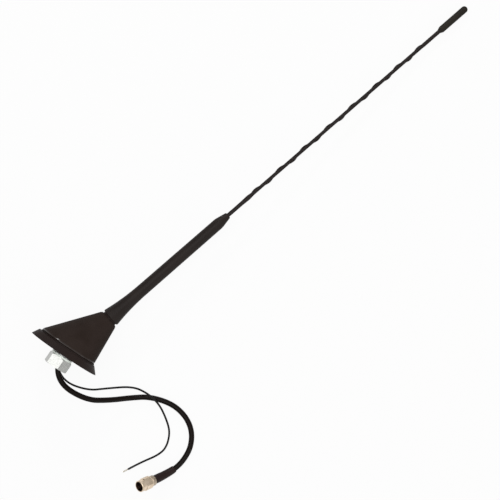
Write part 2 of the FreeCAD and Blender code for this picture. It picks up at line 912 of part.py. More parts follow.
def connector_body():
    """Turned jack body: flange inside the nut, neck through its lip and a collar behind it."""
    flange_end = coupling_length - coupling_lip_length - clip_thickness - open_gap
    flange_start = flange_end - jack_flange_length
    neck = coupling_neck_radius - running_fit
    body = turned(
        (
            (0, insulator_face),
            (jack_bore_radius + 0.5, insulator_face),
            (jack_bore_radius + 0.5, flange_start),
            (jack_flange_radius, flange_start),
            (jack_flange_radius, flange_end),
            (neck, flange_end),
            (neck, coupling_length + open_gap),
            (jack_collar_radius - 0.3, coupling_length + open_gap),
            (jack_collar_radius, coupling_length + open_gap + 0.3),
            (jack_collar_radius, connector_length),
            (crimp_radius + seat_fit, connector_length),
            (crimp_radius + seat_fit, jack_end),
            (0, jack_end),
        )
    )
    return body.cut(ring(0, jack_bore_radius, insulator_face - 1, insulator_end))


def retaining_clip():
    """Flat ring behind the jack's flange that keeps the coupling nut on."""
    high = coupling_length - coupling_lip_length - open_gap
    inner = coupling_neck_radius - running_fit + seat_fit
    return ring(inner, clip_radius, high - clip_thickness, high)


def connector_insulator():
    """White insulator round the centre contact."""
    outer = jack_bore_radius - seat_fit
    body = ring(0, outer, insulator_face, insulator_end)
    return body.cut(ring(0, contact_radius + seat_fit, insulator_face - 1, connector_length))


def centre_contact():
    """Slotted socket contact on the connector's axis."""
    body = ring(0, contact_radius, insulator_face, insulator_end)
    body = body.cut(ring(0, contact_bore_radius, insulator_face - 1, insulator_face + contact_bore_depth))
    slot = Part.makeBox(
        2 * contact_radius + 1,
        0.3,
        contact_bore_depth,
        V(-contact_radius - 0.5, -0.15, insulator_face - 0.5),
    )
    return body.cut(slot)


def crimp_ferrule():
    """Crimped tube that holds the coax behind the jack body, with six pressed flats."""
    end = jack_end + crimp_length
    body = hexagon(crimp_flats, jack_end, end, 0, 0.2)
    return body.cut(ring(0, coax_radius + seat_fit, jack_end - 1, end + 1))


def heat_shrink(points, place):
    """Shrunk sleeve: thick over the crimp, then thinner along the two bends of the coax."""
    bore = coax_radius + seat_fit
    crimp_end = jack_end + crimp_length
    thick = turned(
        (
            (bore, connector_length),
            (shrink_radius, connector_length),
            (shrink_radius, crimp_end),
            (shrink_middle_radius, crimp_end + 0.4),
            (bore, crimp_end + 0.4),
        )
    )
    thick = thick.cut(ring(0, crimp_radius + seat_fit, connector_length - 1, crimp_end + seat_fit))
    thick.Placement = place.multiply(thick.Placement)
    edges = tube_path(points)[0].Edges
    last_line = Part.makeLine(edges[-1].Vertexes[0].Point, thick_start(place, crimp_end))
    middle = Part.Wire([edges[-3], edges[-2], last_line])
    thin = Part.Wire([edges[-5], edges[-4]])
    body = thick.fuse(sleeve_along(middle, shrink_middle_radius, bore))
    return body.fuse(sleeve_along(thin, shrink_thin_radius, bore))


def thick_start(place, along):
    return place.multVec(V(0, 0, along + 0.2))


def sleeve_along(path, outer, inner):
    """Tube round a stretch of a lead's path."""
    first = path.Edges[0]
    point = first.valueAt(first.FirstParameter)
    tangent = first.tangentAt(first.FirstParameter)
    if (point - path.Edges[1].valueAt(path.Edges[1].FirstParameter)).Length < 1e-6:
        point = first.valueAt(first.LastParameter)
        tangent = first.tangentAt(first.LastParameter) * -1
    skins = []
    for radius in (outer, inner):
        section = Part.Wire(Part.makeCircle(radius, point, tangent))
        skins.append(path.makePipeShell([section], True, False))
    return skins[0].cut(skins[1])


def wire_strands(points):
    """Bare tinned strands at the end of the thin wire, one in the middle and six round it."""
    end = points[-1]
    along = (points[-1] - points[-2]).normalize()
    place = FreeCAD.Placement(end, FreeCAD.Rotation(UP, along))
    strands = [Part.makeCylinder(strand_radius, strand_length)]
    for i in range(6):
        angle = math.radians(60 * i)
        distance = 2 * strand_radius + 0.01
        foot = V(distance * math.cos(angle), distance * math.sin(angle), 0)
        strands.append(Part.makeCylinder(strand_radius, strand_length, foot))
    for strand in strands:
        strand.Placement = place.multiply(strand.Placement)
    return strands


def build():
    """Every piece in the lying frame, as {node name: list of solids}."""
    lying = lay_down()
    leaning = {
        "mast_grip": mast_grip,
        "mast_ferrule": mast_ferrule,
        "whip_rod": whip_rod,
        "whip_sleeve": whip_sleeve,
        "whip_winding": whip_winding,
        "tip_cap": tip_cap,
        "mast_seal": mast_seal,
        "mast_socket": mast_socket,
    }
    upright = {
        "base_cover": base_cover,
        "base_gasket": base_gasket,
        "base_plate": base_plate,
        "cable_bush": cable_bush,
        "cover_screws": cover_screws,
        "board_screws": board_screws,
        "amplifier_board": amplifier_board,
        "shield_can": shield_can,
        "choke_coil": choke_coil,
        "capacitors": capacitors,
        "contact_strip": contact_strip,
        "tooth_washer": tooth_washer,
        "roof_nut": roof_nut,
    }
    on_lead = {
        "coupling_nut": coupling_nut,
        "connector_body": connector_body,
        "retaining_clip": retaining_clip,
        "connector_insulator": connector_insulator,
        "centre_contact": centre_contact,
        "crimp_ferrule": crimp_ferrule,
    }
    pieces = {}
    for name, make in leaning.items():
        pieces[name] = [on_mast(make())]
    for name, make in upright.items():
        made = make()
        pieces[name] = made if isinstance(made, list) else [made]
    for name, shapes in pieces.items():
        for shape in shapes:
            shape.Placement = lying.multiply(shape.Placement)
    coax = coax_points(lying)
    place = connector_placement(lying)
    for name, make in on_lead.items():
        shape = make()
        shape.Placement = place.multiply(shape.Placement)
        pieces[name] = [shape]
    pieces["heat_shrink"] = [heat_shrink(coax, place)]
    wire = lead_points(wire_in_bore, wire_first_bend, board_bottom, wire_route, lying)
    pieces["wire_strands"] = wire_strands(wire)
    for name, points, radius in (
        ("coax_cable", coax, coax_radius),
        ("power_wire", wire, wire_radius),
    ):
        tube, radii, length = swept(points, radius)
        section = math.pi * radius**2
        print(name, "bend radii", radii, "length", round(length, 1))
        print(name, "volume over section times length", round(tube.Volume / (section * length), 4))
        pieces[name] = [tube]
    return pieces


def centre(pieces):
    """Moves everything so that the box of the pieces that aren't on a lead is centred on the
    origin and stands on it."""
    on_leads = (
        "coax_cable", "power_wire", "wire_strands", "heat_shrink", "crimp_ferrule",
        "connector_body", "connector_insulator", "centre_contact", "retaining_clip", "coupling_nut",
    )
    box = FreeCAD.BoundBox()
    for name, shapes in pieces.items():
        if name not in on_leads:
            for shape in shapes:
                box.add(shape.optimalBoundingBox(False, False))
    move = V(-(box.XMin + box.XMax) / 2, -(box.YMin + box.YMax) / 2, 0)
    for shapes in pieces.values():
        for shape in shapes:
            shape.translate(move)
    return move


def export(pieces):
    os.makedirs("parts", exist_ok=True)
    for name, shapes in pieces.items():
        solids = [solid for shape in shapes for solid in shape.Solids]
        whole = solids[0] if len(solids) == 1 else Part.makeCompound(solids)
        whole.exportStep("parts/" + name + ".step")


def main():
    pieces = build()
    move = centre(pieces)
    export(pieces)
    print("moved by", round(move.x, 3), round(move.y, 3))


main()
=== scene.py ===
import json
import math

import bpy
from mathutils import Matrix, Vector


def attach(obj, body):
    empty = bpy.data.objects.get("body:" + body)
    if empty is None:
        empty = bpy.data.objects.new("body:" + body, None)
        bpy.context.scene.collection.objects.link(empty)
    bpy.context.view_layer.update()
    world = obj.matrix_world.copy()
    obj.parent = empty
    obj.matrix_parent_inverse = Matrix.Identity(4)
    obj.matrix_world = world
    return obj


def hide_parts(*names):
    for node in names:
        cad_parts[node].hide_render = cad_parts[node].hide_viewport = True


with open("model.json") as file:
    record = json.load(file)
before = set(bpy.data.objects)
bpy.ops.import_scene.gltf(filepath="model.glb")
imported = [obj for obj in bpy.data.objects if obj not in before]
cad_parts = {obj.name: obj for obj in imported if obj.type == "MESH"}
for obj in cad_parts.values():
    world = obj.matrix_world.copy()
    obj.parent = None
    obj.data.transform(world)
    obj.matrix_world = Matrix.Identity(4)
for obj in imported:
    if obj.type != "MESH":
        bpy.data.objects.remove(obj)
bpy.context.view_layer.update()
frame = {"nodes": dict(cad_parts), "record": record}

MM = 0.001

# Photograph: camera straight above, frame width at the surface and the frame's turn
CAMERA_HEIGHT = 1460 * MM
FRAME_WIDTH = 436.25 * MM
CAMERA_PLACE = (-43.585 * MM, -37.96 * MM)
CAMERA_TURN = math.radians(-41.13)
SENSOR = 36.0
VIEW_DEPTH = 20

# Floor: it glows white to the camera and in reflections, and lights the part as a pale grey
FLOOR_SIZE = 14
FLOOR_HEIGHT = -0.05 * MM
FLOOR_GREY = (0.60, 0.60, 0.60, 1)
FLOOR_GLOW = 0.93
WHITE = (1, 1, 1, 1)

# Room: its bright side, the cosines from that side between which it brightens, and its two strengths
BRIGHT_SIDE = (0.20, -0.42, 0.85)
BRIGHT_REACH = (-0.1, 0.9)
DIM_LIGHT = 0.32
BRIGHT_LIGHT = 0.85
# Lamps: place, size and watts
LAMPS = (
    ("soft_box", (-0.25, 0.35, 2.1), (1.8, 1.8), 20),
    ("foot_lamp", (0.84, 1.12, 0.82), (0.3, 0.3), 8),
    ("side_lamp", (-0.11, -1.5, 0.9), (0.8, 0.8), 4),
)

# Moulded finishes: dark and light colour, roughness, grain in cycles for each metre, its depth in
# millimetres, and shine
MOULDED = {
    "cover_plastic": ((0.018, 0.012, 0.0096), (0.024, 0.0168, 0.0142), (0.60, 0.70), 2600, 0.03, 0.04),
    "grip_rubber": ((0.011, 0.0074, 0.006), (0.015, 0.0104, 0.0088), (0.46, 0.56), 2200, 0.03, 0.14),
    "cap_rubber": ((0.012, 0.0096, 0.0068), (0.0165, 0.0136, 0.0102), (0.50, 0.60), 2000, 0.03, 0.12),
    "seal_rubber": ((0.011, 0.0056, 0.0048), (0.015, 0.0085, 0.007), (0.55, 0.70), 1800, 0.03, 0.14),
    "sleeve_black": ((0.01, 0.0066, 0.0058), (0.0135, 0.0092, 0.0082), (0.42, 0.52), 3000, 0.01, 0.14),
    "shrink_black": ((0.0125, 0.0055, 0.005), (0.017, 0.0085, 0.0078), (0.42, 0.52), 3000, 0.01, 0.14),
    "lead_jacket": ((0.0036, 0.0016, 0.0009), (0.0056, 0.003, 0.0021), (0.32, 0.38), 2500, 0.004, 0.09),
    "wire_jacket": ((0.0046, 0.0042, 0.004), (0.0068, 0.0064, 0.0062), (0.32, 0.38), 2500, 0.004, 0.11),
    "glass_fibre": ((0.30, 0.29, 0.22), (0.36, 0.34, 0.27), (0.35, 0.45), 1500, 0.01, 0.5),
    "board_green": ((0.02, 0.10, 0.05), (0.03, 0.14, 0.07), (0.35, 0.45), 1500, 0.01, 0.5),
    "ferrite_grey": ((0.03, 0.03, 0.03), (0.05, 0.05, 0.05), (0.6, 0.8), 2500, 0.05, 0.5),
    "can_sleeve": ((0.02, 0.025, 0.05), (0.03, 0.035, 0.06), (0.25, 0.35), 1500, 0.01, 0.5),
    "insulator_brown": ((0.03, 0.018, 0.01), (0.042, 0.026, 0.015), (0.35, 0.45), 1800, 0.01, 0.2),
}
CLOUD_SCALE = 60

# Metals: dark and light colour, roughness, and depth of the tool marks in millimetres
METALS = {
    "zinc": ((0.42, 0.425, 0.41), (0.47, 0.475, 0.455), (0.24, 0.36), 0.01),
    # The washer is zinc like the nut, but its colour is painted much lighter: painted light on the band
    # that lies in shade between gasket and nut
    "washer_zinc_painted_light": ((0.80, 0.84, 0.79), (0.88, 0.92, 0.87), (0.60, 0.75), 0.01),
    "steel": ((0.50, 0.50, 0.50), (0.60, 0.60, 0.60), (0.28, 0.40), 0.01),
    "die_cast": ((0.42, 0.42, 0.43), (0.55, 0.55, 0.56), (0.45, 0.60), 0.03),
    "nickel": ((0.40, 0.325, 0.245), (0.46, 0.385, 0.30), (0.18, 0.26), 0.003),
    "coupling_nickel": ((0.66, 0.53, 0.39), (0.83, 0.685, 0.53), (0.16, 0.24), 0.003),
    "brass": ((0.62, 0.44, 0.16), (0.76, 0.56, 0.24), (0.25, 0.38), 0.01),
    "tinned": ((0.40, 0.37, 0.31), (0.54, 0.50, 0.43), (0.30, 0.45), 0.01),
}
STAIN_SCALE = 250
MARK_SCALE = 900

NODE_FINISHES = {
    "mast_grip": "grip_rubber",
    "tip_cap": "cap_rubber",
    "mast_seal": "seal_rubber",
    "base_gasket": "seal_rubber",
    "cable_bush": "seal_rubber",
    "base_cover": "cover_plastic",
    "whip_rod": "glass_fibre",
    "whip_sleeve": "sleeve_black",
    "whip_winding": "sleeve_black",
    "mast_ferrule": "brass",
    "mast_socket": "brass",
    "base_plate": "die_cast",
    "cover_screws": "steel",
    "board_screws": "steel",
    "tooth_washer": "washer_zinc_painted_light",
    "roof_nut": "zinc",
    "amplifier_board": "board_green",
    "shield_can": "tinned",
    "choke_coil": "ferrite_grey",
    "capacitors": "can_sleeve",
    "contact_strip": "tinned",
    "coax_cable": "lead_jacket",
    "power_wire": "lead_jacket",
    "wire_strands": "tinned",
    "heat_shrink": "shrink_black",
    "crimp_ferrule": "nickel",
    "connector_body": "nickel",
    "coupling_nut": "coupling_nickel",
    "retaining_clip": "steel",
    "connector_insulator": "insulator_brown",
    "centre_contact": "brass",
}

# Polish on the cover's rounded foot edge: the edge's top, in millimetres along the base's axis from the
# nut's anchor, the distance above it over which the polish fades, and the coat
FOOT_EDGE = 17.1
FOOT_FADE = 0.9
FOOT_COAT = 0.6
FOOT_COAT_ROUGHNESS = 0.2
FOOT_COAT_IOR = 1.45

# Leads: thickness, length and route in millimetres, and where both leave the stud
COAX_THICKNESS = 4.8
COAX_ROUTE = (
    (-211.8, 4.5, 28.7),
    (-230.5, -0.4, 29.7),
    (-241.9, -17.7, 28.2),
    (-234.2, -42.8, 22.2),
    (-221.3, -55.5, 12.0),
    (-205.7, -67.1, 3.2),
    (-193.5, -76.7, 2.4),
    (-183.0, -93.7, 2.4),
    (-180.9, -109.3, 2.4),
    (-184.8, -122.7, 2.4),
    (-194.3, -132.7, 2.4),
    (-205.5, -137.3, 2.4),
    (-216.8, -138.7, 2.5),
    (-229.9, -135.93, 6.78),
    (-237.9, -132.66, 14.82),
)
SUPPLY_THICKNESS = 1.75
SUPPLY_ROUTE = (
    (-212.0, 4.4, 24.7),
    (-232.0, -0.8, 25.8),
    (-238.5, -17.9, 23.0),
    (-228.9, -37.2, 14.6),
    (-216.3, -46.7, 6.6),
    (-198.8, -60.1, 2.6),
    (-192.1, -73.2, 9.0),
    (-190.8, -87.1, 9.0),
    (-195.6, -101.6, 2.4),
    (-200.8, -112.0, 0.9),
    (-211.8, -119.8, 0.9),
    (-221.9, -119.9, 0.9),
    (-236.9, -114.9, 0.9),
    (-249.4, -112.0, 0.9),
)

# Shrink sleeve: its radius by the distance from the coax's connector end, in millimetres
SHRINK_RADII = (
    (1.0, 3.85), (6.5, 3.85), (9.0, 3.75), (14.0, 3.55),
    (19.0, 3.35), (22.5, 3.2), (23.5, 3.0), (24.0, 2.6),
)

# Connector, in millimetres along its axis from the free nut's anchor: outlines as (radius, height)
# pairs. The free nut has a round mouth, a thicker grip with two milled flats, and a turned skirt
FREE_NUT_OUTLINE = (
    (4.3, 6.6), (4.85, 6.6), (5.05, 6.35), (5.05, 2.1), (5.25, 2.0), (5.55, 1.7), (5.7, 1.5),
    (5.7, -4.8), (5.45, -5.2), (4.7, -5.3), (4.7, -6.5), (4.6, -6.6), (3.3, -6.6),
    (3.3, -5.1), (4.2, -5.1), (4.2, -0.4), (4.0, -0.4), (4.0, 6.2), (4.3, 6.6),
)
REAR_RING_OUTLINE = (
    (3.9, -6.75), (4.4, -6.75), (4.65, -7.0), (4.65, -9.7), (4.4, -10.05), (3.9, -10.05),
    (3.85, -9.9), (3.85, -6.9), (3.9, -6.75),
)
CONNECTOR_SIDES = 96
FLAT_DISTANCE = 4.6
FLAT_TURNS = (17, 197)
FLAT_LOW = -5.6
FLAT_HIGH = 5.0
CUTTER_WIDTH = 16
CUTTER_DEPTH = 4.0
# Painted shade in the connector's mouth: the radius about the coupling's axis inside which the metal is
# painted dark, and that dark colour
PAINTED_SHADE_RADIUS = 4.4
PAINTED_BORE_SHADE = (0.040, 0.024, 0.016, 1)

# Whip, in millimetres along the mast's axis from the foot of the grip: the skin's two thick ends as
# (radius, height) pairs, and the ridge between them, whose pitch changes at RIDGE_STEP
LOWER_SKIN_OUTLINE = (
    (1.72, 130.0), (1.75, 135), (1.75, 146), (1.78, 149), (1.85, 151.5), (1.95, 153.8),
    (2.02, 155.6), (2.05, 156.5), (2.02, 157.4), (1.93, 158.8), (1.77, 160.3),
    (1.63, 161.6), (1.55, 162.5), (1.53, 163.2),
)
UPPER_SKIN_OUTLINE = (
    (1.53, 355.5), (1.57, 356.5), (1.65, 358.0), (1.7, 360.0), (1.7, 372), (1.7, 382.5),
)
SKIN_RADIUS = 1.55
SKIN_SIDES = 48
RIDGE_START = 155.5
RIDGE_STEP = 304.0
RIDGE_END = 359.5
RIDGE_START_ANGLE = 45.0
LOWER_PITCH = 27.78
UPPER_PITCH = 24.77
RIDGE_STEPS_PER_TURN = 28
# Ridge's bump: how far the skin is pushed out, by the angle from the crest in degrees
RIDGE_BUMP = ((0, 0.79), (7.5, 0.77), (15, 0.70), (22.5, 0.56), (30, 0.20))

# Screw threads: radius, depth, pitch and length in millimetres, their start along the piece's axis, and
# the ridge's half width in pitches
MAST_THREAD = (2.48, 0.03, 0.8, 9.5)
MAST_THREAD_START = -9.8
MOUTH_THREAD = (4.02, 0.25, 0.75, 6.0)
MOUTH_THREAD_START = 0.2
THREAD_HALF_WIDTH = 0.42
THREAD_STEPS_PER_TURN = 32


def plain_selection():
    bpy.ops.object.select_all(action="DESELECT")


def pick(piece):
    """Selects one piece alone and makes it active."""
    plain_selection()
    piece.select_set(True)
    bpy.context.view_layer.objects.active = piece


def place_piece(piece, matrix):
    """Moves a finished mesh to its place and keeps the place in the mesh."""
    pick(piece)
    piece.matrix_world = matrix
    bpy.ops.object.transform_apply(location=True, rotation=True, scale=True)
    return piece


def along_axis(distance):
    """Move along +Z by a distance in millimetres."""
    return Matrix.Translation((0, 0, distance * MM))


def soft_edges(piece, degrees):
    pick(piece)
    bpy.ops.object.shade_smooth_by_angle(angle=math.radians(degrees))
    return piece


def apply_modifier(piece, kind, **settings):
    pick(piece)
    modifier = piece.modifiers.new(kind.title(), kind)
    for key, value in settings.items():
        setattr(modifier, key, value)
    bpy.ops.object.modifier_apply(modifier=modifier.name)


def join_pieces(pieces, name):
    plain_selection()
    for piece in pieces:
        piece.select_set(True)
    bpy.context.view_layer.objects.active = pieces[0]
    bpy.ops.object.join()
    pieces[0].name = name
    return pieces[0]


def turn_rings(name, rings, sides):
    """Turned skin about +Z from (radius, height) pairs in millimetres, ring after ring."""
    plain_selection()
    radius, height = rings[0]
    bpy.ops.mesh.primitive_circle_add(
        vertices=sides, radius=radius * MM, fill_type="NOTHING", location=(0, 0, height * MM)
    )
    piece = bpy.context.active_object
    piece.name = name
    bpy.ops.object.transform_apply(location=True, rotation=False, scale=False)
    bpy.ops.object.mode_set(mode="EDIT")
    bpy.ops.mesh.select_all(action="SELECT")
    for next_radius, next_height in rings[1:]:
        bpy.ops.mesh.extrude_edges_move()
        bpy.ops.transform.translate(value=(0, 0, (next_height - height) * MM))
        grow = next_radius / radius
        bpy.ops.transform.resize(value=(grow, grow, 1), center_override=(0, 0, 0))
        radius, height = next_radius, next_height
    bpy.ops.mesh.select_all(action="SELECT")
    bpy.ops.mesh.remove_doubles(threshold=0.001 * MM)
    bpy.ops.mesh.normals_make_consistent(inside=False)
    bpy.ops.object.mode_set(mode="OBJECT")
    return piece


def wind(piece, turns, pitch, steps_per_turn):
    """Draws an outline along +Z while it turns about it."""
    steps = round(turns * steps_per_turn)
    apply_modifier(
        piece,
        "SCREW",
        angle=turns * math.tau,
        screw_offset=turns * pitch * MM,
        steps=steps,
        render_steps=steps,
        axis="Z",
        use_normal_calculate=True,
    )


# Directions of the mast and of the connector, from the record's joints
joints = {joint["name"]: joint for joint in frame["record"]["behaviour"]["joints"]}


def axis_frame(joint, side):
    """Frame with +Z along a joint's axis and +Y as near as it goes to a given side."""
    along = Vector(joint["axis"]).normalized()
    across = side.cross(along).normalized()
    upright = along.cross(across)
    turn = Matrix((across, upright, along)).transposed().to_4x4()
    return Matrix.Translation(Vector(joint["pos_m"])) @ turn


mast_frame = axis_frame(joints["mast_turn"], Vector((0, 0, -1)))
coupling_frame = axis_frame(joints["coupling_spin"], Vector((0, 0, 1)))


# Finishes

def new_finish(name):
    finish = bpy.data.materials.new(name)
    finish.use_nodes = True
    nodes = finish.node_tree.nodes
    return finish, nodes, finish.node_tree.links, nodes["Principled BSDF"]


def object_noise(nodes, links, scale, detail):
    """Noise on the piece's own coordinates, in cycles for each metre."""
    place = nodes.new("ShaderNodeTexCoord")
    noise = nodes.new("ShaderNodeTexNoise")
    noise.inputs["Scale"].default_value = scale
    noise.inputs["Detail"].default_value = detail
    links.new(place.outputs["Object"], noise.inputs["Vector"])
    return noise.outputs["Fac"]


def spread(nodes, links, value, low, high):
    """Turns noise, which lies mostly between 0.3 and 0.7, into a range."""
    reach = nodes.new("ShaderNodeMapRange")
    reach.inputs["From Min"].default_value = 0.3
    reach.inputs["From Max"].default_value = 0.7
    reach.inputs["To Min"].default_value = low
    reach.inputs["To Max"].default_value = high
    links.new(value, reach.inputs["Value"])
    return reach.outputs["Result"]


def blend_colours(nodes, links, value, dark, light):
    """Blends two colours over the middle of the noise, so that each has clear patches."""
    ramp = nodes.new("ShaderNodeValToRGB")
    ramp.color_ramp.elements[0].position = 0.35
    ramp.color_ramp.elements[0].color = (*dark, 1)
    ramp.color_ramp.elements[1].position = 0.65
    ramp.color_ramp.elements[1].color = (*light, 1)
    links.new(value, ramp.inputs["Fac"])
    return ramp.outputs["Color"]


def bump(nodes, links, height, distance):
    node = nodes.new("ShaderNodeBump")
    node.inputs["Distance"].default_value = distance * MM
    links.new(height, node.inputs["Height"])
    return node.outputs["Normal"]


def moulded(name, dark, light, rough, grain, depth, shine):
    """Moulded plastic or rubber: spark-eroded grain, faint clouds and uneven gloss."""
    finish, nodes, links, shader = new_finish(name)
    clouds = object_noise(nodes, links, CLOUD_SCALE, detail=4)
    fine = object_noise(nodes, links, grain, detail=2)
    links.new(blend_colours(nodes, links, clouds, dark, light), shader.inputs["Base Color"])
    links.new(spread(nodes, links, clouds, *rough), shader.inputs["Roughness"])
    links.new(bump(nodes, links, fine, depth), shader.inputs["Normal"])
    shader.inputs["Specular IOR Level"].default_value = shine
    return finish


def metal(name, dark, light, rough, depth):
    """Plated or turned metal with faint stains and fine tool marks."""
    finish, nodes, links, shader = new_finish(name)
    stains = object_noise(nodes, links, STAIN_SCALE, detail=4)
    marks = object_noise(nodes, links, MARK_SCALE, detail=3)
    links.new(blend_colours(nodes, links, stains, dark, light), shader.inputs["Base Color"])
    links.new(spread(nodes, links, marks, *rough), shader.inputs["Roughness"])
    links.new(bump(nodes, links, marks, depth), shader.inputs["Normal"])
    shader.inputs["Metallic"].default_value = 1.0
    return finish


def place_from(nodes, links, joint):
    """Place on the piece, measured from a joint's anchor."""
    place = nodes.new("ShaderNodeTexCoord")
    offset = nodes.new("ShaderNodeVectorMath")
    offset.operation = "SUBTRACT"
    offset.inputs[1].default_value = joint["pos_m"]
    links.new(place.outputs["Object"], offset.inputs[0])
    return offset.outputs["Vector"]


def polish_foot(finish, joint):
    """Shines the moulded edge at the cover's foot, up to a height along the base's axis."""
    nodes, links = finish.node_tree.nodes, finish.node_tree.links
    shader = nodes["Principled BSDF"]
    height = nodes.new("ShaderNodeVectorMath")
    height.operation = "DOT_PRODUCT"
    height.inputs[1].default_value = joint["axis"]
    fade = nodes.new("ShaderNodeMapRange")
    fade.inputs["From Min"].default_value = FOOT_EDGE * MM
    fade.inputs["From Max"].default_value = (FOOT_EDGE + FOOT_FADE) * MM
    fade.inputs["To Min"].default_value = FOOT_COAT
    fade.inputs["To Max"].default_value = 0.0
    links.new(place_from(nodes, links, joint), height.inputs[0])
    links.new(height.outputs["Value"], fade.inputs["Value"])
    links.new(fade.outputs["Result"], shader.inputs["Coat Weight"])
    shader.inputs["Coat Roughness"].default_value = FOOT_COAT_ROUGHNESS
    shader.inputs["Coat IOR"].default_value = FOOT_COAT_IOR


def paint_bore_shade(finish, joint):
    """Paints shade into a turned metal inside a bore about a joint's axis: its colour turns dark there,
    standing in for the shade in the deep mouth.
    """
    nodes, links = finish.node_tree.nodes, finish.node_tree.links
    shader = nodes["Principled BSDF"]
    outside = shader.inputs["Base Color"].links[0].from_socket
    lever = nodes.new("ShaderNodeVectorMath")
    lever.operation = "CROSS_PRODUCT"
    lever.inputs[1].default_value = joint["axis"]
    distance = nodes.new("ShaderNodeVectorMath")
    distance.operation = "LENGTH"
    edge = nodes.new("ShaderNodeMapRange")
    edge.inputs["From Min"].default_value = (PAINTED_SHADE_RADIUS - 0.1) * MM
    edge.inputs["From Max"].default_value = (PAINTED_SHADE_RADIUS + 0.1) * MM
    mix = nodes.new("ShaderNodeMix")
    mix.data_type = "RGBA"
    mix.inputs["A"].default_value = PAINTED_BORE_SHADE
    links.new(place_from(nodes, links, joint), lever.inputs[0])
    links.new(lever.outputs["Vector"], distance.inputs[0])
    links.new(distance.outputs["Value"], edge.inputs["Value"])
    links.new(edge.outputs["Result"], mix.inputs["Factor"])
    links.new(outside, mix.inputs["B"])
    links.new(mix.outputs["Result"], shader.inputs["Base Color"])


finishes = {name: moulded(name, *values) for name, values in MOULDED.items()}
finishes.update((name, metal(name, *values)) for name, values in METALS.items())
polish_foot(finishes["cover_plastic"], joints["nut_turn"])
# Painted shade inside the free nut's bore and on its mouth thread
paint_bore_shade(finishes["coupling_nickel"], joints["coupling_spin"])

for node, finish in NODE_FINISHES.items():
    for material_slot in frame["nodes"][node].material_slots:
        material_slot.material = finishes[finish]


def dress(piece, finish, body):
    """Gives a finished piece its finish and the body that it rides on."""
    piece.data.materials.clear()
    piece.data.materials.append(finishes[finish])
    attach(piece, body)


# Camera, floor and light

def photo_camera():
    plain_selection()
    bpy.ops.object.camera_add(
        location=(*CAMERA_PLACE, CAMERA_HEIGHT), rotation=(0, 0, CAMERA_TURN)
    )
    camera = bpy.context.active_object
    camera.name = "photo_camera"
    camera.data.sensor_width = SENSOR
    camera.data.lens = SENSOR * CAMERA_HEIGHT / FRAME_WIDTH
    camera.data.clip_end = VIEW_DEPTH
    bpy.context.scene.camera = camera


def white_floor():
    plain_selection()
    bpy.ops.mesh.primitive_plane_add(size=FLOOR_SIZE, location=(0, 0, FLOOR_HEIGHT))
    floor = bpy.context.active_object
    floor.name = "white_floor"
    finish, nodes, links, shader = new_finish("floor_white")
    shader.inputs["Base Color"].default_value = FLOOR_GREY
    shader.inputs["Roughness"].default_value = 0.9
    shader.inputs["Specular IOR Level"].default_value = 0.0
    glow = nodes.new("ShaderNodeEmission")
    glow.inputs["Color"].default_value = WHITE
    glow.inputs["Strength"].default_value = 1.0
    path = nodes.new("ShaderNodeLightPath")
    seen = nodes.new("ShaderNodeMath")
    seen.operation = "MAXIMUM"
    links.new(path.outputs["Is Camera Ray"], seen.inputs[0])
    links.new(path.outputs["Is Glossy Ray"], seen.inputs[1])
    share = nodes.new("ShaderNodeMath")
    share.operation = "MULTIPLY"
    share.inputs[1].default_value = FLOOR_GLOW
    links.new(seen.outputs["Value"], share.inputs[0])
    mix = nodes.new("ShaderNodeMixShader")
    links.new(share.outputs["Value"], mix.inputs["Fac"])
    links.new(shader.outputs["BSDF"], mix.inputs[1])
    links.new(glow.outputs["Emission"], mix.inputs[2])
    links.new(mix.outputs["Shader"], nodes["Material Output"].inputs["Surface"])
    floor.data.materials.append(finish)


def studio_light():
    """Room light from a broad bright side, a large soft box overhead and two small lamps."""
    world = bpy.data.worlds.new("studio")
    bpy.context.scene.world = world
    world.use_nodes = True
    nodes, links = world.node_tree.nodes, world.node_tree.links
    direction = nodes.new("ShaderNodeTexCoord")
    side = nodes.new("ShaderNodeVectorMath")
    side.operation = "DOT_PRODUCT"
    side.inputs[1].default_value = Vector(BRIGHT_SIDE).normalized()
    rise = nodes.new("ShaderNodeMapRange")
    rise.interpolation_type = "SMOOTHSTEP"
    rise.inputs["From Min"].default_value = BRIGHT_REACH[0]
    rise.inputs["From Max"].default_value = BRIGHT_REACH[1]
    rise.inputs["To Min"].default_value = DIM_LIGHT
    rise.inputs["To Max"].default_value = BRIGHT_LIGHT
    links.new(direction.outputs["Generated"], side.inputs[0])
    links.new(side.outputs["Value"], rise.inputs["Value"])
    background = nodes["Background"]
    background.inputs["Color"].default_value = WHITE
    links.new(rise.outputs["Result"], background.inputs["Strength"])
    for name, place, size, power in LAMPS:
        plain_selection()
        bpy.ops.object.light_add(type="AREA", location=place)
        lamp = bpy.context.active_object
        lamp.name = name
        lamp.data.shape = "RECTANGLE"
        lamp.data.size, lamp.data.size_y = size
        lamp.data.energy = power
        lamp.rotation_euler = (-Vector(place)).to_track_quat("-Z", "Y").to_euler()
    bpy.context.scene.view_settings.view_transform = "Standard"


photo_camera()
white_floor()
studio_light()


# Leads

def new_line(name, kind, places):
    """Closed round curve in space and its spline of a given kind, from places in metres."""
    line = bpy.data.curves.new(name, "CURVE")
    line.dimensions = "3D"
    line.use_fill_caps = True
    spline = line.splines.new(kind)
    spline.points.add(len(places) - 1)
    for point, place in zip(spline.points, places):
        point.co = (*place, 1)
    piece = bpy.data.objects.new(name, line)
    bpy.context.scene.collection.objects.link(piece)
    return piece, spline


def lead_line(name, route, thickness):
    """Smooth round lead on a spline along the route's points."""
    lead, spline = new_line(name, "NURBS", [tuple(value * MM for value in place) for place in route])
    spline.order_u = 3
    spline.use_endpoint_u = True
    lead.data.resolution_u = 24
    lead.data.bevel_depth = thickness / 2 * MM
    lead.data.bevel_resolution = 8
    return lead


